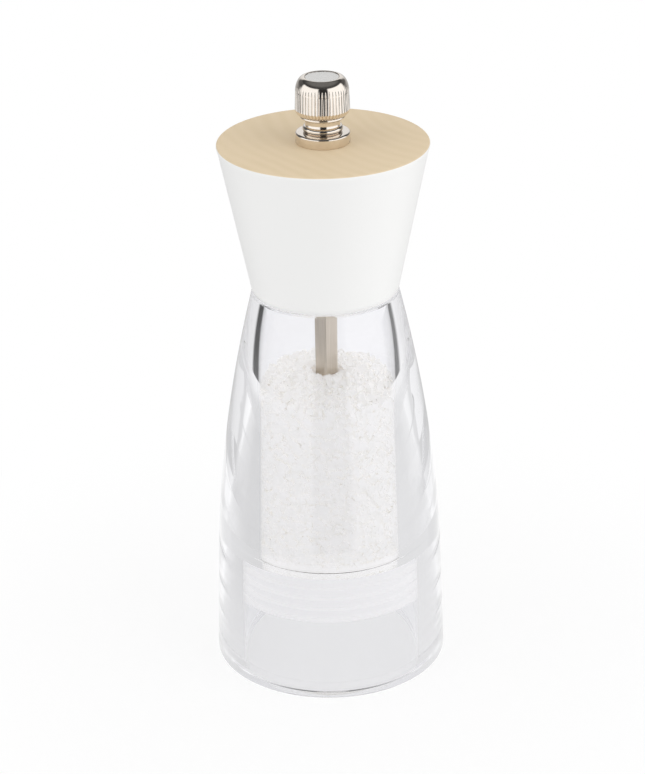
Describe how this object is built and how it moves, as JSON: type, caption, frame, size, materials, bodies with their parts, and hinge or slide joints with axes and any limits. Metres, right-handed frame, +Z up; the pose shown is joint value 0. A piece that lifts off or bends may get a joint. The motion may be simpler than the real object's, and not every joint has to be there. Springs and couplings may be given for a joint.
{
  "type": "salt mill",
  "caption": "Hand mill with a thick clear body full of coarse salt, a painted wooden head that turns a ceramic burr set, and a knurled metal knob that sets the grind.",
  "frame": {"origin": "centre of the foot, on the table", "axes": "+Z up along the shaft; +X and +Y across, with the two drive plate screws on the X axis"},
  "size_m": [0.055, 0.055, 0.1434],
  "materials": {
    "clear_acrylic": "polished clear acrylic",
    "salt": "coarse white crystals",
    "soft_seal": "translucent soft plastic",
    "moulded_plastic": "translucent moulded plastic",
    "white_nylon": "white nylon",
    "burr_ceramic": "fine unglazed ceramic",
    "spring_steel": "plain steel",
    "shaft_metal": "drawn square bar",
    "painted_beech": "matt white paint on the side, bare pale wood on top",
    "screw_metal": "plain brass",
    "nickel": "bright nickel plate",
    "satin_nickel": "satin nickel plate"
  },
  "bodies": {
    "body": {"clear_body": "clear_acrylic", "salt_fill": "salt", "ribbed_seal": "soft_seal", "burr_housing": "moulded_plastic", "bearing_spider": "white_nylon", "ring_burr": "burr_ceramic", "retaining_ring": "moulded_plastic", "spring": "spring_steel"},
    "slip": {"slip_ring": "white_nylon"},
    "head": {"head": "painted_beech", "drive_plate": "spring_steel", "plate_screws": "screw_metal"},
    "knob": {"knob": "nickel", "knob_disc": "satin_nickel"},
    "thrust": {"thrust_washer": "spring_steel"},
    "shaft": {"shaft": "shaft_metal", "burr_hub": "moulded_plastic", "cone_burr": "burr_ceramic", "end_washer": "spring_steel", "end_clip": "spring_steel"}
  },
  "joints": [
    {"name": "head_lift", "type": "slide", "parent": "body", "child": "slip", "axis": [0, 0, 1], "range_m": [0, 0.06]},
    {"name": "head_turn", "type": "hinge", "parent": "slip", "child": "head", "pos_m": [0, 0, 0.0993], "axis": [0, 0, 1], "continuous": true},
    {"name": "knob_turn", "type": "hinge", "parent": "head", "child": "knob", "pos_m": [0, 0, 0.1283], "axis": [0, 0, 1], "range_deg": [-360, 720]},
    {"name": "shaft_rise", "type": "slide", "parent": "body", "child": "thrust", "axis": [0, 0, 1], "range_m": [-0.0014, 0.0007], "deforming": ["spring"]},
    {"name": "shaft_turn", "type": "hinge", "parent": "thrust", "child": "shaft", "pos_m": [0, 0, 0.0228], "axis": [0, 0, 1], "continuous": true}
  ],
  "couplings": [
    {"joint": "shaft_rise", "follows": "knob_turn", "m_per_rad": -0.00011141},
    {"joint": "shaft_turn", "follows": "head_turn", "ratio": 1}
  ]
}
